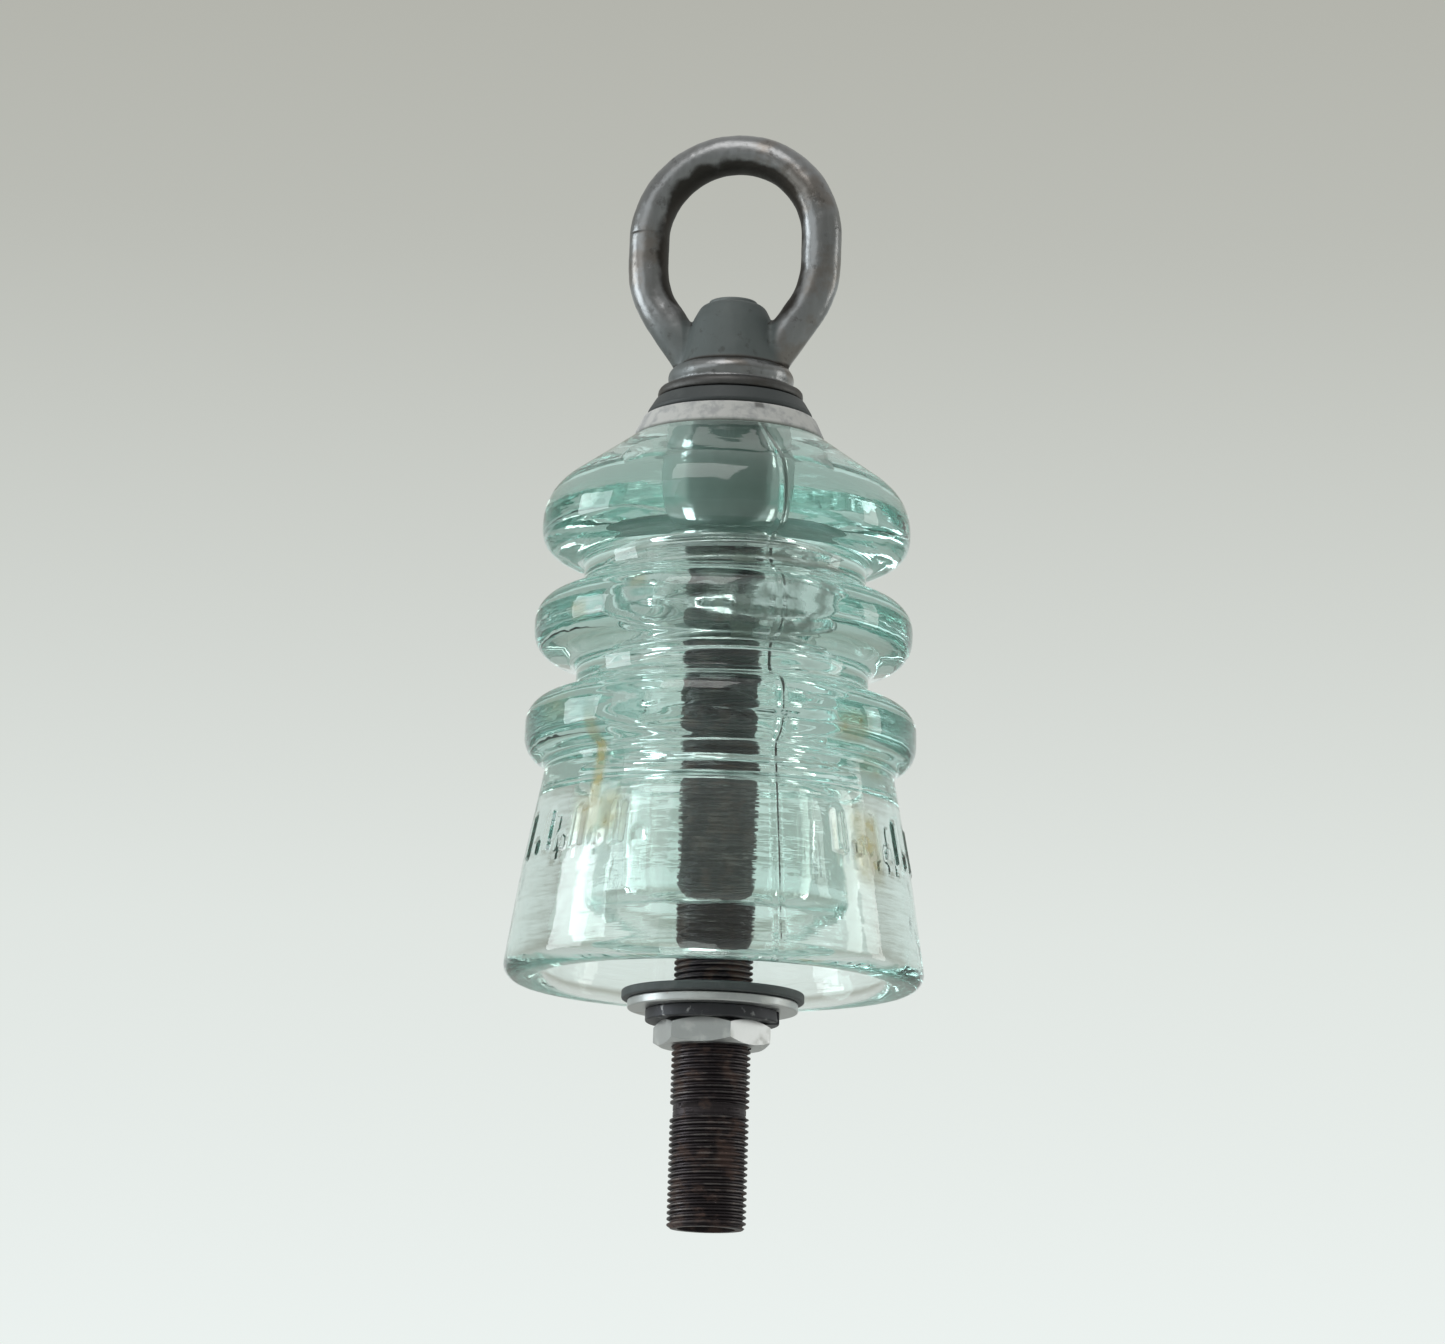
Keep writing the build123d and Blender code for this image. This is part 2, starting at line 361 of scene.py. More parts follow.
def draw_chain(name, points):
    """A new object in edit mode that holds one chain of edges through (radius, height) points."""
    deselect_all()
    bpy.ops.mesh.primitive_plane_add(size=MM, location=(points[0][0], 0, points[0][1]))
    piece = bpy.context.active_object
    piece.name = name
    bpy.ops.object.transform_apply(location=True, rotation=False, scale=False)
    bpy.ops.object.mode_set(mode="EDIT")
    bpy.ops.mesh.select_mode(type="VERT")
    bpy.ops.mesh.select_all(action="SELECT")
    bpy.ops.mesh.merge(type="CENTER")
    for (r0, z0), (r1, z1) in zip(points, points[1:]):
        move = {"value": (r1 - r0, 0, z1 - z0)}
        bpy.ops.mesh.extrude_region_move(TRANSFORM_OT_translate=move)
    bpy.ops.mesh.select_all(action="SELECT")
    return piece


def lathe(name, outline, segments):
    """A closed turned shape, left in object mode: a closed outline spun round the stem axis."""
    piece = draw_chain(name, outline + outline[:1])
    bpy.ops.mesh.remove_doubles(threshold=WELD)
    bpy.ops.mesh.select_all(action="SELECT")
    bpy.ops.mesh.spin(steps=segments, angle=math.tau, center=(0, 0, 0), axis=(0, 0, 1))
    bpy.ops.mesh.select_all(action="SELECT")
    bpy.ops.mesh.remove_doubles(threshold=WELD)
    bpy.ops.mesh.normals_make_consistent(inside=False)
    bpy.ops.object.mode_set(mode="OBJECT")
    return piece


def azimuth_of(point):
    """Azimuth of a point in degrees, from -180 to 180."""
    return math.degrees(math.atan2(point.x, -point.y))


def turn_between(a, b):
    """Signed turn in degrees from azimuth b to azimuth a, the short way."""
    return (a - b + 180) % 360 - 180


def copy_of_node(node, name):
    """A separate piece with a CAD node's shape, its loose triangles welded."""
    make_active(NODES[node])
    bpy.ops.object.duplicate()
    piece = bpy.context.active_object
    piece.name = name
    piece.parent = None
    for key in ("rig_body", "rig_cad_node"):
        del piece[key]
    piece.data.materials.clear()
    bpy.ops.object.mode_set(mode="EDIT")
    bpy.ops.mesh.select_all(action="SELECT")
    bpy.ops.mesh.remove_doubles(threshold=0.001 * MM)
    bpy.ops.object.mode_set(mode="OBJECT")
    return piece


def set_material(piece, material):
    """Make a material the piece's only one."""
    piece.data.materials.clear()
    piece.data.materials.append(material)


def stand_for(piece, node, body, material):
    """Give a finished piece its material and let it stand for a CAD node."""
    if not piece.data.polygons:
        raise RuntimeError(f"{piece.name} came out empty")
    set_material(piece, material)
    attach(piece, body)
    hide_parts(node)


# Glass shell ---------------------------------------------------------------------------


def cut_pin_thread(shell, depth):
    """Sink the one-start line-pin thread into the pinhole's wall as a rounded helix."""
    groove = shell.vertex_groups.new(name="pin_thread")
    for vertex in shell.data.vertices:
        x, y, z = vertex.co
        on_wall = PINHOLE_INNER_R < math.hypot(x, y) < PINHOLE_OUTER_R
        if on_wall and PINHOLE_LOW < z < PINHOLE_HIGH:
            turn = z / PIN_PITCH - math.atan2(y, x) / math.tau
            wave = 0.5 - 0.5 * math.cos(turn * math.tau)
            ends = min(1, (z - PINHOLE_LOW) / PIN_THREAD_FADE, (PINHOLE_HIGH - z) / PIN_THREAD_FADE)
            groove.add([vertex.index], wave**PIN_THREAD_BLUNTNESS * ends, "REPLACE")
    apply_modifier(shell, "DISPLACE", vertex_group="pin_thread", strength=-depth, mid_level=0)
    shell.vertex_groups.clear()


def on_outer_skin(point):
    """True for a point on the outside of the shell, from the rim to the crown's edge."""
    radius = math.hypot(point.x, point.y)
    skirt_wall = SKIRT_WALL_R - SKIRT_WALL_TAPER * point.z
    return radius > (skirt_wall if point.z < SKIRT_TOP else CROWN_EDGE_R)


def on_mark(point, centre, top):
    """True for a point of the skirt's outside under the mark round an azimuth."""
    level = MARK_LOW < point.z < top and math.hypot(point.x, point.y) > MARKED_SKIN_R
    return level and abs(turn_between(azimuth_of(point), centre)) < MARK_HALF_WIDTH


def on_seam(point, azimuth):
    """True for a point on the seam at an azimuth."""
    return on_outer_skin(point) and abs(turn_between(azimuth_of(point), azimuth)) < SEAM_HALF_WIDTH


def raise_faces(shell, chosen, slope, height):
    """Inset the faces whose middles are chosen and raise them. The shell is in edit mode."""
    bpy.ops.mesh.select_mode(type="FACE")
    bpy.ops.mesh.select_all(action="DESELECT")
    mesh = bmesh.from_edit_mesh(shell.data)
    found = [face for face in mesh.faces if chosen(face.calc_center_median())]
    if not found:
        raise RuntimeError("No faces of the glass lie where a mark or a seam should be")
    for face in found:
        face.select = True
    bmesh.update_edit_mesh(shell.data)
    bpy.ops.mesh.inset(thickness=slope, depth=height)


def raise_marks(shell, height):
    """Two arcs of plain raised bars and dots round the skirt."""
    make_active(shell)
    bpy.ops.object.mode_set(mode="EDIT")
    for start in MARK_ARC_STARTS:
        for k in range(MARKS_PER_ARC):
            centre = start + MARK_STEP * k
            top = BAR_TOP if k % 2 == 0 else DOT_TOP
            raise_faces(shell, lambda c: on_mark(c, centre, top), MARK_SLOPE, height)
    bpy.ops.object.mode_set(mode="OBJECT")


def raise_seam_ridges(shell, height):
    """Two fine ridges up the outside, where the mould's halves met."""
    make_active(shell)
    bpy.ops.object.mode_set(mode="EDIT")
    for azimuth in (SEAM_AZIMUTH, SEAM_AZIMUTH + 180):
        raise_faces(shell, lambda c: on_seam(c, azimuth), SEAM_SLOPE, height)
    bpy.ops.object.mode_set(mode="OBJECT")


class INSULATOR_OT_glass_shell(bpy.types.Operator):
    """Turn the glass shell, with its pin thread, mould seams and raised marks"""

    bl_idname = "insulator.glass_shell"
    bl_label = "Glass shell"

    def execute(self, context):
        look = context.scene.insulator_glass
        outline = rounded_outline(GLASS_CORNERS)
        shell = lathe("glass_shell_pressed", outline, look.segments)
        cut_pin_thread(shell, look.thread_depth)
        raise_marks(shell, look.mark_height)
        raise_seam_ridges(shell, look.seam_height)
        make_active(shell)
        bpy.ops.object.shade_smooth_by_angle(angle=math.radians(50))
        stand_for(shell, "glass_shell", "glass", aqua_glass(look))
        return {"FINISHED"}


# Eye loop ------------------------------------------------------------------------------


class INSULATOR_OT_eye_loop(bpy.types.Operator):
    """Blend the ring's legs, hub and collar into one cast and rubbed piece"""

    bl_idname = "insulator.eye_loop"
    bl_label = "Eye loop"

    def execute(self, context):
        look = context.scene.insulator_metal
        loop = copy_of_node("eye_loop", "eye_loop_casting")
        apply_modifier(loop, "REMESH", mode="VOXEL", voxel_size=LOOP_VOXEL)
        apply_modifier(loop, "SMOOTH", factor=0.5, iterations=10)
        grain = bpy.data.textures.new("casting_unevenness", "CLOUDS")
        grain.noise_scale = CAST_LUMP_SIZE
        grain.noise_depth = 2
        apply_modifier(
            loop,
            "DISPLACE",
            texture=grain,
            texture_coords="LOCAL",
            strength=look.casting_grain,
            mid_level=0.6,
        )
        make_active(loop)
        bpy.ops.object.shade_smooth()
        stand_for(loop, "eye_loop", "eye_loop", cast_steel(look))
        return {"FINISHED"}


# Stem ----------------------------------------------------------------------------------


class INSULATOR_OT_stem(bpy.types.Operator):
    """Cut the stem's fine thread along the tube"""

    bl_idname = "insulator.stem"
    bl_label = "Threaded stem"

    def execute(self, context):
        low = STEM_LOW.z - 2.1 * STEM_PITCH  # at this turn the chamfers leave no slivers
        turns = math.ceil((STEM_HIGH.z - STEM_LOW.z) / STEM_PITCH) + SPARE_TURNS
        one_turn = [
            (STEM_CREST_R, low),
            (STEM_CREST_R, low + 0.22 * STEM_PITCH),
            (STEM_ROOT_R, low + 0.5 * STEM_PITCH),
            (STEM_ROOT_R, low + 0.72 * STEM_PITCH),
            (STEM_CREST_R, low + STEM_PITCH),
        ]
        thread = draw_chain("stem_tube_threaded", one_turn)
        bpy.ops.object.mode_set(mode="OBJECT")
        apply_modifier(
            thread,
            "SCREW",
            axis="Z",
            angle=math.tau,
            steps=STEM_THREAD_STEPS,
            render_steps=STEM_THREAD_STEPS,
            screw_offset=STEM_PITCH,
            iterations=turns,
        )
        bpy.ops.object.mode_set(mode="EDIT")
        bpy.ops.mesh.select_all(action="SELECT")
        bpy.ops.mesh.remove_doubles(threshold=0.01 * MM)
        # Both ends are cut between two rings of vertices, clear of the tube's own ends.
        bottom = STEM_LOW.z - 0.63 * STEM_PITCH
        top = STEM_HIGH.z + 0.57 * STEM_PITCH
        for height, side in ((bottom, -1), (top, 1)):
            bpy.ops.mesh.select_all(action="SELECT")
            bpy.ops.mesh.bisect(
                plane_co=(0, 0, height), plane_no=(0, 0, side), use_fill=True, clear_outer=True
            )
        bpy.ops.mesh.select_all(action="SELECT")
        bpy.ops.mesh.normals_make_consistent(inside=False)
        bpy.ops.object.mode_set(mode="OBJECT")
        tube = copy_of_node("stem_tube", "stem_limits")
        apply_modifier(thread, "BOOLEAN", operation="INTERSECT", object=tube, solver="EXACT")
        bpy.data.objects.remove(tube)
        make_active(thread)
        bpy.ops.object.shade_smooth_by_angle(angle=math.radians(28))
        look = context.scene.insulator_metal
        stand_for(thread, "stem_tube", "stem", rusty_thread(look))
        return {"FINISHED"}


# Washers, gaskets, nuts, screw and bushing -----------------------------------------------


class INSULATOR_OT_fastenings(bpy.types.Operator):
    """Finish the washers, gaskets, nuts, screw and bushing, whose CAD shapes stay"""

    bl_idname = "insulator.fastenings"
    bl_label = "Fastenings"

    def execute(self, context):
        look = context.scene.insulator_metal
        finishes = (
            (aged_rubber("aged_rubber", 0.22), ("loop_gasket", "shade_gasket")),
            (aged_rubber("chalked_rubber", 0.9), ("inner_gasket",)),
            (dulled_zinc(look), ("inner_washer", "inner_nut", "shade_washer", "shade_nut")),
            (black_steel(), ("spring_washer", "loop_set_screw")),
            (grey_plastic(), ("wire_bushing",)),
            (chalky_washer(), ("crown_washer",)),
        )
        for material, nodes in finishes:
            for node in nodes:
                set_material(NODES[node], material)
        return {"FINISHED"}


# Node helpers --------------------------------------------------------------------------


def new_material(name):
    """An empty node material and its tree."""
    material = bpy.data.materials.new(name)
    material.use_nodes = True
    material.node_tree.nodes.clear()
    return material, material.node_tree


def add_node(tree, kind, inputs=None, **settings):
    """Add a node; inputs are numbers, colours or the outputs that feed them."""
    node = tree.nodes.new(kind)
    for key, value in settings.items():
        setattr(node, key, value)
    for key, value in (inputs or {}).items():
        if isinstance(value, bpy.types.NodeSocket):
            tree.links.new(value, node.inputs[key])
        else:
            node.inputs[key].default_value = value
    return node


def maths(tree, operation, *values):
    """The output of a Math node."""
    return add_node(tree, "ShaderNodeMath", dict(enumerate(values)), operation=operation).outputs[0]


def product(tree, first, *others):
    """The output of Math nodes that multiply values together."""
    for value in others:
        first = maths(tree, "MULTIPLY", first, value)
    return first


def highest(tree, first, *others):
    """The output of Math nodes that keep the highest value."""
    for value in others:
        first = maths(tree, "MAXIMUM", first, value)
    return first


def scaled(tree, value, factor, plus):
    """The output of a Math node: value times factor, plus a number or another value."""
    return maths(tree, "MULTIPLY_ADD", value, factor, plus)


def eased(tree, value, start, end, first=0.0, last=1.0):
    """The output of a Map Range node that eases from first, at start, to last, at end."""
    inputs = {0: value, 1: start, 2: end, 3: first, 4: last}
    return add_node(tree, "ShaderNodeMapRange", inputs, interpolation_type="SMOOTHSTEP").outputs[0]


def mix_colour(tree, share, first, second):
    """The output of a colour Mix node."""
    colours = [c if isinstance(c, bpy.types.NodeSocket) else (*c, 1)[:4] for c in (first, second)]
    inputs = {0: share, 6: colours[0], 7: colours[1]}
    return add_node(tree, "ShaderNodeMix", inputs, data_type="RGBA").outputs[2]


def principled(tree, inputs):
    """The output of a Principled BSDF."""
    return add_node(tree, "ShaderNodeBsdfPrincipled", inputs).outputs[0]


def output_surface(tree, shader, volume=None):
    """Join a shader, and a volume if there is one, to the material's output."""
    output = add_node(tree, "ShaderNodeOutputMaterial", {"Surface": shader})
    if volume is not None:
        tree.links.new(volume, output.inputs["Volume"])


def bump_normal(tree, height, strength, distance):
    """Normal from a height map; distance in metres."""
    inputs = {"Height": height, "Strength": strength, "Distance": distance}
    return add_node(tree, "ShaderNodeBump", inputs).outputs["Normal"]


def object_place(tree):
    """The shaded point in the piece's own coordinates."""
    return add_node(tree, "ShaderNodeTexCoord").outputs["Object"]


def noise_value(tree, scale, detail=4.0, stretch=(1, 1, 1)):
    """Noise on object coordinates, stretched by a Mapping node."""
    inputs = {"Vector": object_place(tree), "Scale": stretch}
    mapped = add_node(tree, "ShaderNodeMapping", inputs).outputs[0]
    inputs = {"Vector": mapped, "Scale": scale, "Detail": detail}
    return add_node(tree, "ShaderNodeTexNoise", inputs).outputs[0]


# Shared effects, each a node group -------------------------------------------------------


def shared_group(name, inputs, outputs, build):
    """A shader node group with named sockets, built once."""
    if name in bpy.data.node_groups:
        return bpy.data.node_groups[name]
    tree = bpy.data.node_groups.new(name, "ShaderNodeTree")
    for label, default in inputs.items():
        socket = tree.interface.new_socket(label, in_out="INPUT", socket_type="NodeSocketFloat")
        socket.default_value = default
    for label in outputs:
        tree.interface.new_socket(label, in_out="OUTPUT", socket_type="NodeSocketFloat")
    source = tree.nodes.new("NodeGroupInput")
    target = tree.nodes.new("NodeGroupOutput")
    build(tree, source.outputs, target.inputs)
    return tree


def place_group(tree, group, inputs):
    """Place a node group, give its inputs their values and return its outputs."""
    return add_node(tree, "ShaderNodeGroup", inputs, node_tree=group).outputs


def build_patches(tree, given, wanted):
    """Soft-edged patches: noise above a threshold."""
    inputs = {"Vector": object_place(tree), "Scale": given["Scale"], "Detail": 5.0, "Roughness": 0.6}
    noise = add_node(tree, "ShaderNodeTexNoise", inputs).outputs[0]
    low = maths(tree, "SUBTRACT", 1.0, given["Cover"])
    high = maths(tree, "ADD", low, given["Softness"])
    tree.links.new(eased(tree, noise, low, high), wanted["Mask"])


def patch_mask(tree, scale, cover, softness):
    """Mask of soft-edged patches; cover grows from about 0.3 to 0.7."""
    defaults = {"Scale": 200.0, "Cover": 0.5, "Softness": 0.1}
    group = shared_group("Patches", defaults, ("Mask",), build_patches)
    given = {"Scale": scale, "Cover": cover, "Softness": softness}
    return place_group(tree, group, given)["Mask"]


def build_place(tree, given, wanted):
    """Azimuth in degrees, radius and height in millimetres."""
    split = add_node(tree, "ShaderNodeSeparateXYZ", {0: object_place(tree)}).outputs
    back = product(tree, split[1], -1.0)
    angle = maths(tree, "DEGREES", maths(tree, "ARCTAN2", split[0], back))
    squares = [maths(tree, "POWER", side, 2.0) for side in (split[0], split[1])]
    radius = maths(tree, "SQRT", maths(tree, "ADD", *squares))
    tree.links.new(angle, wanted["Azimuth"])
    tree.links.new(product(tree, radius, 1 / MM), wanted["Radius"])
    tree.links.new(product(tree, split[2], 1 / MM), wanted["Height"])


def place_on_piece(tree):
    """Outputs Azimuth, Radius and Height of the shaded point."""
    outputs = ("Azimuth", "Radius", "Height")
    return place_group(tree, shared_group("Place On Piece", {}, outputs, build_place), {})


def build_band(tree, given, wanted):
    """1 within a half width of a centre, falling smoothly to 0."""
    away = maths(tree, "ABSOLUTE", maths(tree, "SUBTRACT", given["Value"], given["Centre"]))
    start = maths(tree, "SUBTRACT", given["Half Width"], given["Softness"])
    end = maths(tree, "ADD", given["Half Width"], given["Softness"])
    tree.links.new(eased(tree, away, start, end, 1.0, 0.0), wanted["Mask"])


def band_mask(tree, value, centre, half_width, softness):
    """Mask of a soft-edged band of some value."""
    defaults = {"Value": 0.0, "Centre": 0.0, "Half Width": 1.0, "Softness": 0.1}
    group = shared_group("Band", defaults, ("Mask",), build_band)
    given = {"Value": value, "Centre": centre, "Half Width": half_width, "Softness": softness}
    return place_group(tree, group, given)["Mask"]


# Glass ---------------------------------------------------------------------------------

GLASS_SHADOW = (0.94, 0.98, 0.97, 1)
FROSTING = (0.25, 0.32, 0.29)
OLD_GRIME = (0.17, 0.165, 0.14)
DRIED_RUST = (0.50, 0.38, 0.13)

# Rusty stains on the outside: azimuth from the front, half width, height, half height, strength.
STAINS = (
    (-41.0, 2.2, 31.5, 8.5, 1.0),
    (-39.0, 9.0, 24.0, 3.5, 0.75),
    (42.0, 6.0, 39.5, 2.2, 0.75),
    (50.0, 6.0, 20.5, 5.5, 0.95),
    (58.0, 7.0, 34.5, 2.0, 0.5),
    (-49.0, 3.2, 58.0, 1.5, 0.8),
    (-27.0, 2.6, 61.5, 1.0, 0.6),
    (-56.0, 7.0, 42.0, 2.0, 0.45),
)
STAINED_SKIN_R = 27.5
CROWN_FACE = 91.2  # the crown's flat top lies just above this height


def stain_mask(tree, place):
    """Rusty runs and blotches on the shell's outside."""
    stained = 0.0
    for turn, half_turn, height, half_height, strength in STAINS:
        across = band_mask(tree, place["Azimuth"], FRONT + turn, half_turn, 0.3 + 0.5 * half_turn)
        along = band_mask(tree, place["Height"], height, half_height, 0.3 + 0.5 * half_height)
        stained = highest(tree, stained, product(tree, across, along, strength))
    runs = scaled(tree, patch_mask(tree, scale=420.0, cover=0.56, softness=0.25), 0.4, 0.6)
    outside = maths(tree, "GREATER_THAN", place["Radius"], STAINED_SKIN_R)
    return product(tree, stained, outside, runs)


def crown_haze(tree, place):
    """Uneven frosting on the ground hole through the crown, and chalk bedding under its washer."""
    wall = band_mask(tree, place["Radius"], centre=7.0, half_width=1.0, softness=0.3)
    wall = product(tree, wall, scaled(tree, noise_value(tree, scale=150.0), 0.5, 0.35))
    crown = maths(tree, "GREATER_THAN", place["Height"], CROWN_FACE)
    return highest(tree, wall, product(tree, crown, 0.8))


def pinhole_dirt(tree, place):
    """Old grime on the threaded wall, thickest near its top and on one side."""
    wall = band_mask(tree, place["Radius"], centre=12.6, half_width=1.9, softness=0.3)
    upper = band_mask(tree, place["Height"], centre=69.0, half_width=11.0, softness=6.0)
    side = band_mask(tree, place["Azimuth"], centre=FRONT + 45.0, half_width=60.0, softness=25.0)
    spots = patch_mask(tree, scale=230.0, cover=0.60, softness=0.20)
    return product(tree, wall, upper, spots, scaled(tree, side, 0.65, 0.35), 0.8)


def aqua_glass(look):
    """Pale aqua pressed glass, wavy, lightly stained, with old dirt in the pinhole."""
    material, tree = new_material("aqua_glass")
    place = place_on_piece(tree)
    waves = noise_value(tree, scale=110.0, detail=2.0)
    lines = noise_value(tree, scale=60.0, detail=3.0, stretch=(1, 1, 9))
    height = scaled(tree, lines, 0.35, waves)
    smear = patch_mask(tree, scale=90.0, cover=0.5, softness=0.2)
    streaks = stain_mask(tree, place)
    glass = principled(
        tree,
        {
            "Base Color": mix_colour(tree, streaks, look.tint, look.stain),
            "Roughness": scaled(tree, smear, 0.05, 0.015),
            "IOR": 1.52,
            "Transmission Weight": 1.0,
            "Normal": bump_normal(tree, height, strength=0.5, distance=0.3 * MM),
        },
    )
    clear = add_node(tree, "ShaderNodeBsdfTransparent", {"Color": GLASS_SHADOW}).outputs[0]
    shadow_ray = add_node(tree, "ShaderNodeLightPath").outputs["Is Shadow Ray"]
    lit = add_node(tree, "ShaderNodeMixShader", {0: shadow_ray, 1: glass, 2: clear}).outputs[0]

    haze = crown_haze(tree, place)
    grime = pinhole_dirt(tree, place)
    colour = mix_colour(tree, grime, FROSTING, OLD_GRIME)
    colour = mix_colour(tree, product(tree, streaks, 0.8), colour, DRIED_RUST)
    film = principled(tree, {"Base Color": colour, "Roughness": 0.8})
    share = highest(tree, haze, grime, product(tree, streaks, 0.65))
    surface = add_node(tree, "ShaderNodeMixShader", {0: share, 1: lit, 2: film}).outputs[0]
    inputs = {"Color": (*look.deep_tint, 1), "Density": look.deep_density}
    volume = add_node(tree, "ShaderNodeVolumeAbsorption", inputs).outputs[0]
    output_surface(tree, surface, volume)
    return material


# Metals --------------------------------------------------------------------------------

WORN_BROWN = (0.155, 0.12, 0.09)
# Black patina for the ring's hollows, also used as painted shade on the bead's foot and the hub's
# crease.
BLACK_PATINA_AND_SHADE = (0.026, 0.022, 0.018)
DARK_THREAD = (0.034, 0.027, 0.030)
RUBBED_CREST = (0.24, 0.22, 0.21)
RUBBED_CREST_R = 6.38
ZINC_BLOOM = (0.62, 0.62, 0.60)
ZINC_RUST = (0.22, 0.12, 0.07)
BLACK_OXIDE = (0.05, 0.05, 0.055)
RUBBED_OXIDE = (0.3, 0.3, 0.3)

# The ring's straight sides run between two heights, and nothing rubs it nearer to its middle
# than the distances that follow, where the dark skin starts to fade and ends.
RING_LOW, RING_HIGH = 122.0, 126.5
RING_FADE_START, RING_FADE_END = 12.5, 13.7
LEG_FOOT, HUB_TOP, HUB_R = 111.0, 116.0, 6.9


def ring_inside(tree, place):
    """Mask of the ring's inner side and hollows, which nothing rubs clean."""
    across = add_node(tree, "ShaderNodeSeparateXYZ", {0: object_place(tree)}).outputs[0]
    across = product(tree, across, 1 / MM)
    inputs = {0: place["Height"], 1: RING_LOW, 2: RING_HIGH}
    along = add_node(tree, "ShaderNodeClamp", inputs).outputs[0]
    up = maths(tree, "SUBTRACT", place["Height"], along)
    squares = [maths(tree, "POWER", side, 2.0) for side in (up, across)]
    from_centre = maths(tree, "SQRT", maths(tree, "ADD", *squares))
    patchy = scaled(tree, noise_value(tree, scale=100.0, detail=2.0), 4.5, -3.3)
    ragged = scaled(tree, noise_value(tree, scale=300.0, detail=5.0), 2.4, patchy)
    from_centre = maths(tree, "ADD", from_centre, ragged)
    inside = eased(tree, from_centre, RING_FADE_START, RING_FADE_END, 1.0, 0.0)
    above_foot = maths(tree, "GREATER_THAN", place["Height"], LEG_FOOT)
    beside_hub = maths(tree, "GREATER_THAN", place["Radius"], HUB_R)
    above_hub = maths(tree, "GREATER_THAN", place["Height"], HUB_TOP)
    return product(tree, inside, above_foot, highest(tree, beside_hub, above_hub))


def cast_steel(look):
    """Cast steel, rubbed shiny on the ring and bead, dull on the hub and dark where unrubbed, with
    painted shade on the bead's lowest band and along the crease where the hub meets the bead.
    """
    material, tree = new_material("worn_cast_steel")
    place = place_on_piece(tree)
    hub = product(
        tree,
        band_mask(tree, place["Height"], centre=109.6, half_width=5.4, softness=0.5),
        band_mask(tree, place["Radius"], centre=0.0, half_width=8.9, softness=0.7),
    )
    foot = product(
        tree,
        band_mask(tree, place["Height"], centre=106.0, half_width=5.5, softness=2.5),
        band_mask(tree, place["Azimuth"], centre=-90.0, half_width=60.0, softness=12.0),
        0.75,
    )
    spots = patch_mask(tree, scale=420.0, cover=0.42, softness=0.12)
    # Painted shade: the bead's lowest band, just above the gasket, is darkened as if the bead shaded
    # it.
    bead_foot_painted_shade = band_mask(tree, place["Height"], centre=99.0, half_width=1.5, softness=0.5)
    # Painted shade: a thin dark line along the crease where the hub meets the bead.
    seam = band_mask(tree, place["Height"], centre=104.1, half_width=0.35, softness=0.25)
    nick = product(
        tree,
        band_mask(tree, place["Height"], centre=127.6, half_width=0.16, softness=0.2),
        band_mask(tree, place["Azimuth"], centre=-80.5, half_width=2.8, softness=2.0),
    )
    patina_and_shade = highest(
        tree,
        ring_inside(tree, place),
        product(tree, spots, 0.45),
        product(tree, bead_foot_painted_shade, 0.75),
        seam,
        nick,
    )
    dull = highest(tree, hub, foot)
    brown = product(tree, patch_mask(tree, scale=120.0, cover=0.50, softness=0.14), 0.45)
    scratched = noise_value(tree, scale=900.0, detail=3.0, stretch=(1, 1, 0.12))
    dimmed = [0.75 * c for c in look.worn_steel]
    colour = mix_colour(tree, scratched, dimmed, look.worn_steel)
    colour = mix_colour(tree, brown, colour, WORN_BROWN)
    colour = mix_colour(tree, dull, colour, look.oxide)
    # Black patina in the ring's hollows and in random spots, plus painted shade on the bead's foot and
    # along the hub's crease.
    colour = mix_colour(tree, product(tree, patina_and_shade, 0.92), colour, BLACK_PATINA_AND_SHADE)
    rough = scaled(tree, highest(tree, dull, product(tree, patina_and_shade, 0.8)), 0.30, 0.25)
    grain = maths(tree, "SUBTRACT", noise_value(tree, scale=700.0, detail=6.0), patina_and_shade)
    steel = principled(
        tree,
        {
            "Base Color": colour,
            "Metallic": scaled(tree, dull, -0.8, 1.0),
            "Roughness": scaled(tree, scratched, 0.14, rough),
            "Normal": bump_normal(tree, grain, strength=0.4, distance=0.12 * MM),
        },
    )
    output_surface(tree, steel)
    return material


def rusty_thread(look):
    """Dark steel thread with light brown rust and rubbed crests."""
    material, tree = new_material("rusty_thread")
    crest = maths(tree, "GREATER_THAN", place_on_piece(tree)["Radius"], RUBBED_CREST_R)
    rubbed = product(tree, crest, patch_mask(tree, scale=180.0, cover=0.55, softness=0.2), 0.35)
    rust = patch_mask(tree, scale=300.0, cover=0.52, softness=0.15)
    pits = noise_value(tree, scale=1500.0, detail=5.0)
    colour = mix_colour(tree, rust, DARK_THREAD, look.rust)
    steel = principled(
        tree,
        {
            "Base Color": mix_colour(tree, rubbed, colour, RUBBED_CREST),
            "Metallic": scaled(tree, rust, -0.65, 0.75),
            "Roughness": scaled(tree, rust, 0.3, 0.45),
            "Normal": bump_normal(tree, pits, strength=0.4, distance=0.05 * MM),
        },
    )
    output_surface(tree, steel)
    return material


def dulled_zinc(look):
    """Zinc plating gone dull, with pale bloom and faint rust."""
    material, tree = new_material("dulled_zinc")
    bloom = patch_mask(tree, scale=350.0, cover=0.5, softness=0.2)
    rust = patch_mask(tree, scale=220.0, cover=0.38, softness=0.1)
    pits = noise_value(tree, scale=1200.0, detail=5.0)
    colour = mix_colour(tree, product(tree, bloom, 0.5), look.zinc, ZINC_BLOOM)
    steel = principled(
        tree,
        {
            "Base Color": mix_colour(tree, product(tree, rust, 0.6), colour, ZINC_RUST),
            "Metallic": scaled(tree, rust, -0.6, 0.95),
            "Roughness": scaled(tree, bloom, 0.2, 0.34),
            "Normal": bump_normal(tree, pits, strength=0.3, distance=0.04 * MM),
        },
    )
    output_surface(tree, steel)
    return material


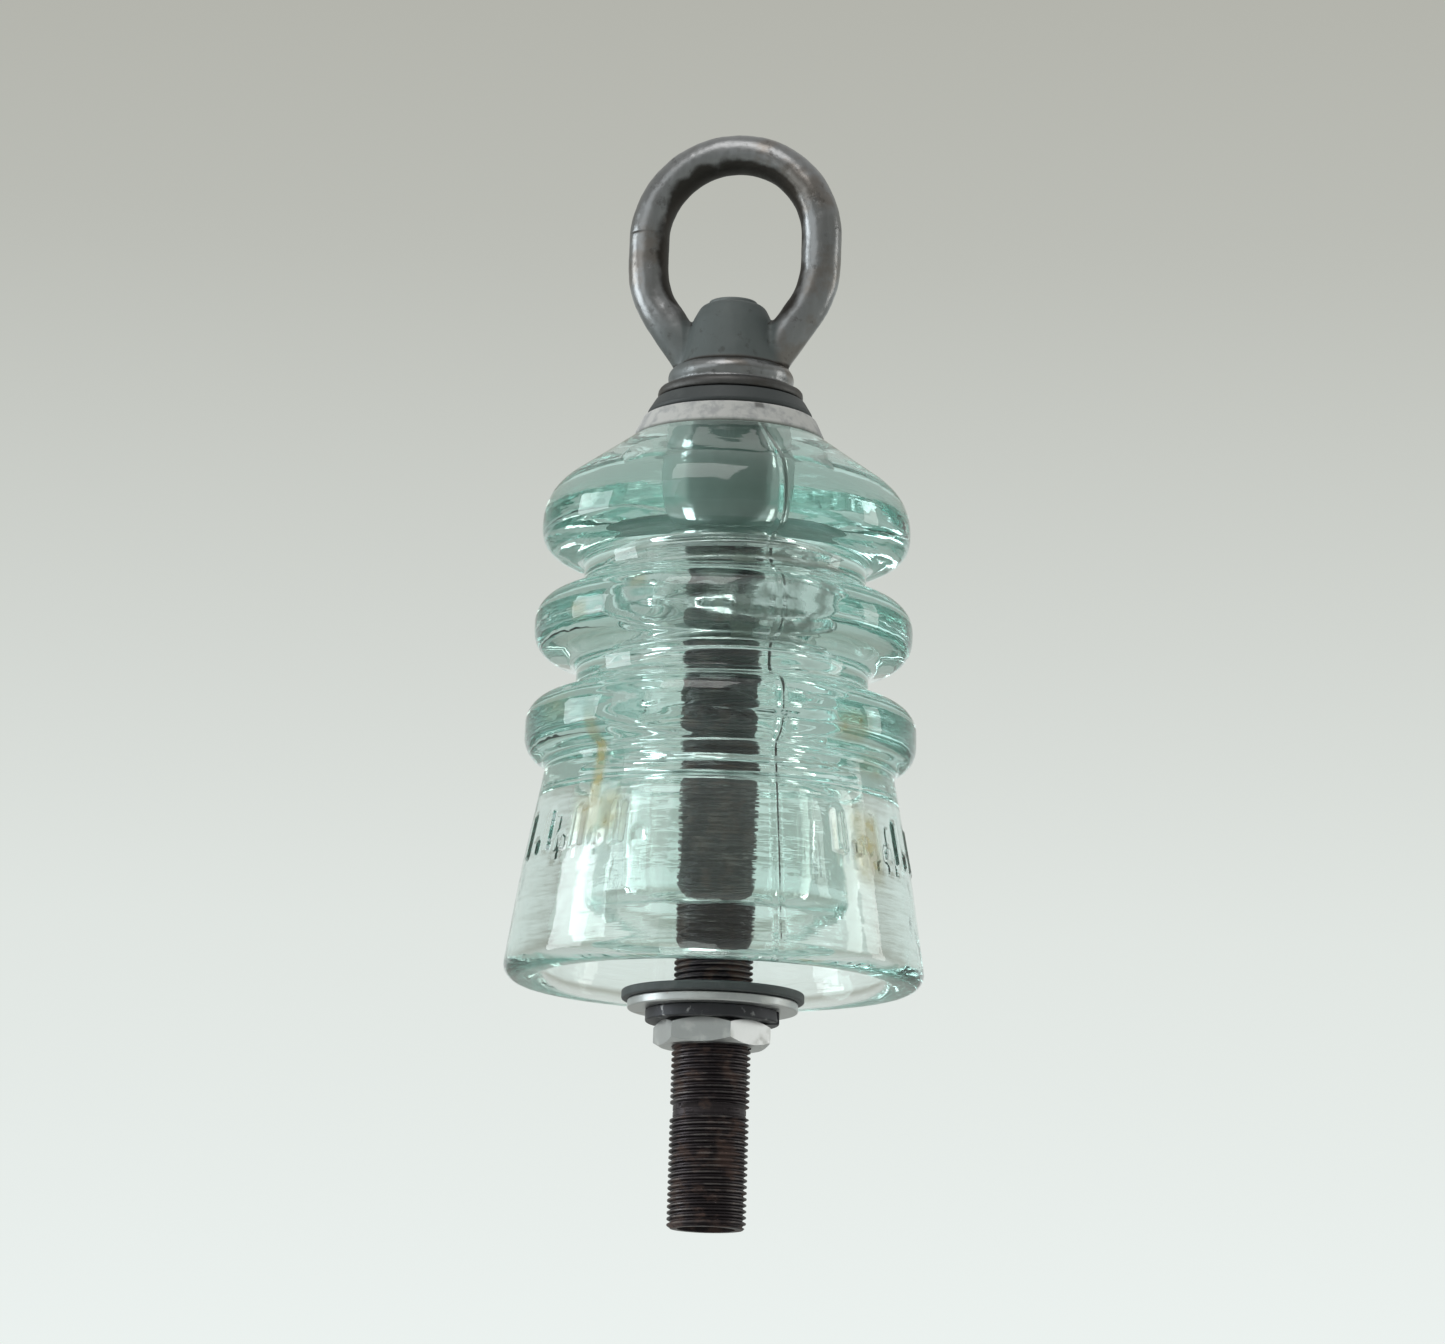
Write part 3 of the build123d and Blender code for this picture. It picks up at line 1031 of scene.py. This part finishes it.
def black_steel():
    """Black-oxide spring steel with bright rubs."""
    material, tree = new_material("black_steel")
    rub = patch_mask(tree, scale=500.0, cover=0.42, softness=0.1)
    grain = noise_value(tree, scale=1500.0, detail=4.0)
    steel = principled(
        tree,
        {
            "Base Color": mix_colour(tree, product(tree, rub, 0.6), BLACK_OXIDE, RUBBED_OXIDE),
            "Metallic": 0.8,
            "Roughness": scaled(tree, rub, -0.2, 0.5),
            "Normal": bump_normal(tree, grain, strength=0.3, distance=0.03 * MM),
        },
    )
    output_surface(tree, steel)
    return material


# Rubber, washer and plastic --------------------------------------------------------------

BLACK_RUBBER = (0.022, 0.028, 0.03)
RUBBER_CHALK = (0.26, 0.27, 0.265)
PALE_CHALK = (0.47, 0.47, 0.46)
GREY_CHALK = (0.28, 0.285, 0.295)
DARK_LOWER_EDGE = (0.2, 0.19, 0.17)
DARK_CHIP = (0.07, 0.07, 0.07)
PLASTIC_SHADES = (0.10, 0.115, 0.115), (0.15, 0.17, 0.17)


def aged_rubber(name, chalk):
    """Blue-black rubber under more or less of a chalky bloom."""
    material, tree = new_material(name)
    bloom = patch_mask(tree, scale=260.0, cover=0.5, softness=0.25)
    dust = scaled(tree, bloom, 1 - chalk, chalk)
    pores = noise_value(tree, scale=1800.0, detail=4.0)
    rubber = principled(
        tree,
        {
            "Base Color": mix_colour(tree, product(tree, dust, chalk), BLACK_RUBBER, RUBBER_CHALK),
            "Roughness": scaled(tree, dust, 0.25, 0.5),
            "Normal": bump_normal(tree, pores, strength=0.35, distance=0.05 * MM),
        },
    )
    output_surface(tree, rubber)
    return material


def chalky_washer():
    """Pale chalky washer, mottled grey, with one dark chip and a darker lower edge."""
    material, tree = new_material("chalky_washer")
    place = place_on_piece(tree)
    mottle = product(tree, patch_mask(tree, scale=420.0, cover=0.56, softness=0.2), 0.7)
    # A darker band along the washer's lower edge, where it sits on the glass.
    edge = band_mask(tree, place["Height"], centre=CROWN_Z / MM, half_width=0.35, softness=0.2)
    chip = product(
        tree,
        band_mask(tree, place["Azimuth"], centre=FRONT + 19.0, half_width=3.2, softness=1.2),
        band_mask(tree, place["Height"], centre=94.6, half_width=0.5, softness=0.3),
        0.8,
    )
    colour = mix_colour(tree, mottle, PALE_CHALK, GREY_CHALK)
    colour = mix_colour(tree, product(tree, edge, 0.5), colour, DARK_LOWER_EDGE)
    grain = noise_value(tree, scale=900.0, detail=6.0)
    washer = principled(
        tree,
        {
            "Base Color": mix_colour(tree, chip, colour, DARK_CHIP),
            "Roughness": 0.75,
            "Normal": bump_normal(tree, grain, strength=0.5, distance=0.12 * MM),
        },
    )
    output_surface(tree, washer)
    return material


def grey_plastic():
    """Matte grey bushing plastic."""
    material, tree = new_material("grey_plastic")
    shade = noise_value(tree, scale=500.0, detail=3.0)
    grain = noise_value(tree, scale=1600.0, detail=3.0)
    plastic = principled(
        tree,
        {
            "Base Color": mix_colour(tree, shade, *PLASTIC_SHADES),
            "Roughness": 0.55,
            "Normal": bump_normal(tree, grain, strength=0.2, distance=0.03 * MM),
        },
    )
    output_surface(tree, plastic)
    return material


# Stage ---------------------------------------------------------------------------------

FLOOR_SIZE = 60
FLOOR_SHADES = (0.82, 0.85, 0.83), (0.86, 0.89, 0.87)

# The room's colours from straight down, 0, to straight up, 1.
ROOM_COLOURS = (
    (0.30, (0.80, 0.84, 0.82)),
    (0.535, (0.82, 0.87, 0.85)),
    (0.575, (0.73, 0.77, 0.74)),
    (0.605, (0.61, 0.635, 0.60)),
    (0.635, (0.49, 0.50, 0.46)),
    (0.67, (0.42, 0.42, 0.375)),
    (0.76, (0.64, 0.65, 0.62)),
    (1.0, (0.82, 0.83, 0.81)),
)
ROOM_BRIGHTNESS = 0.82
ROOM_FALL_OFF = 0.21  # how much brighter the room is on the +Y side than beside the object

# Lights: name, azimuth, distance, height, width and height of the panel, power, colour.
LIGHTS = (
    ("window", FRONT - 90, 1.3, 0.20, (0.62, 0.72), 6.5, (0.90, 0.97, 1.0)),
    ("second_window", FRONT - 50, 1.6, 0.60, (1.0, 0.9), 3.2, (0.93, 0.98, 1.0)),
    ("side_fill", FRONT + 100, 1.5, 0.20, (0.35, 0.9), 2.5, (1.0, 0.99, 0.95)),
    ("ceiling_fill", FRONT - 20, 0.9, 1.3, (0.9, 0.9), 7, (1.0, 0.99, 0.97)),
)
CAMERA_DISTANCE, CAMERA_HEIGHT = 0.9, -0.126


def pale_floor_material():
    """Pale matte floor with a faint mottle."""
    material, tree = new_material("pale_floor")
    colour = mix_colour(tree, noise_value(tree, scale=6.0, detail=2.0), *FLOOR_SHADES)
    output_surface(tree, principled(tree, {"Base Color": colour, "Roughness": 0.9}))
    return material


def soft_light(name, azimuth, distance, height, size, power, colour):
    """A rectangular area light that faces the object."""
    data = bpy.data.lights.new(name, "AREA")
    data.shape = "RECTANGLE"
    data.size, data.size_y = size
    data.energy = power
    data.color = colour
    light = bpy.data.objects.new(name, data)
    bpy.context.scene.collection.objects.link(light)
    light.location = around(azimuth, distance, height)
    light.rotation_euler = (CAD_MIDDLE - light.location).to_track_quat("-Z", "Y").to_euler()


def room_light(scene):
    """A pale room: greyer overhead, paler low down, dimmer behind the camera."""
    world = bpy.data.worlds.new("pale_room")
    scene.world = world
    world.use_nodes = True
    tree = world.node_tree
    tree.nodes.clear()
    direction = add_node(tree, "ShaderNodeTexCoord").outputs["Generated"]
    split = add_node(tree, "ShaderNodeSeparateXYZ", {0: direction}).outputs
    ramp = add_node(tree, "ShaderNodeValToRGB", {0: scaled(tree, split[2], 0.5, 0.5)})
    stops = ramp.color_ramp.elements
    for stop, (position, shade) in zip(stops, (ROOM_COLOURS[0], ROOM_COLOURS[-1])):
        stop.position, stop.color = position, (*shade, 1)
    for position, shade in ROOM_COLOURS[1:-1]:
        stops.new(position).color = (*shade, 1)
    behind = scaled(tree, split[1], ROOM_FALL_OFF, ROOM_BRIGHTNESS)
    inputs = {0: ramp.outputs[0], "Scale": behind}
    colour = add_node(tree, "ShaderNodeVectorMath", inputs, operation="SCALE").outputs[0]
    background = add_node(tree, "ShaderNodeBackground", {"Color": colour, "Strength": 1.0}).outputs[0]
    add_node(tree, "ShaderNodeOutputWorld", {"Surface": background})


def place_camera(scene, lens, lean):
    """The camera, below the object and aimed at its middle."""
    data = bpy.data.cameras.new("camera")
    data.lens = lens
    camera = bpy.data.objects.new("camera", data)
    scene.collection.objects.link(camera)
    camera.location = around(FRONT, CAMERA_DISTANCE, CAMERA_HEIGHT)
    aim = (CAD_MIDDLE - camera.location).to_track_quat("-Z", "Y").to_matrix().to_4x4()
    aim.translation = camera.location
    camera.matrix_world = aim @ Matrix.Rotation(lean, 4, "Z")
    scene.camera = camera


class INSULATOR_OT_stage(bpy.types.Operator):
    """Pale floor, window light from the left, soft fill, and the camera from below"""

    bl_idname = "insulator.stage"
    bl_label = "Stage"

    def execute(self, context):
        scene = context.scene
        look = scene.insulator_stage
        deselect_all()
        bpy.ops.mesh.primitive_plane_add(size=FLOOR_SIZE, location=(0, 0, -look.floor_drop))
        floor = context.active_object
        floor.name = "floor"
        floor.data.materials.append(pale_floor_material())
        room_light(scene)
        for light in LIGHTS:
            soft_light(*light)
        place_camera(scene, look.lens, look.lean)
        scene.view_settings.view_transform = "Standard"
        # Light bounces many times between the ridges, and would end black too soon.
        scene.cycles.max_bounces = 40
        scene.cycles.glossy_bounces = 20
        scene.cycles.transmission_bounces = 28
        scene.cycles.transparent_max_bounces = 32
        return {"FINISHED"}


# Panel and registration ------------------------------------------------------------------

OPERATORS = (
    INSULATOR_OT_glass_shell,
    INSULATOR_OT_eye_loop,
    INSULATOR_OT_stem,
    INSULATOR_OT_fastenings,
    INSULATOR_OT_stage,
)
SETTINGS = {
    "insulator_glass": GlassSettings,
    "insulator_metal": MetalSettings,
    "insulator_stage": StageSettings,
}


class INSULATOR_PT_panel(bpy.types.Panel):
    """Sidebar panel that lists the pieces and their settings"""

    bl_idname = "INSULATOR_PT_panel"
    bl_label = "Insulator"
    bl_space_type = "VIEW_3D"
    bl_region_type = "UI"
    bl_category = "Insulator"

    def draw(self, context):
        for name, group in SETTINGS.items():
            box = self.layout.box()
            for key in group.__annotations__:
                box.prop(getattr(context.scene, name), key)
        for operator in OPERATORS:
            self.layout.operator(operator.bl_idname)


def register():
    """Register the settings, the operators and the panel."""
    for name, group in SETTINGS.items():
        bpy.utils.register_class(group)
        setattr(bpy.types.Scene, name, bpy.props.PointerProperty(type=group))
    for operator in OPERATORS:
        bpy.utils.register_class(operator)
    bpy.utils.register_class(INSULATOR_PT_panel)


def unregister():
    """Take back all that register added."""
    bpy.utils.unregister_class(INSULATOR_PT_panel)
    for operator in reversed(OPERATORS):
        bpy.utils.unregister_class(operator)
    for name, group in SETTINGS.items():
        delattr(bpy.types.Scene, name)
        bpy.utils.unregister_class(group)


def main():
    register()
    for operator in OPERATORS:
        group, name = operator.bl_idname.split(".")
        getattr(getattr(bpy.ops, group), name)()


if __name__ == "__main__":
    main()
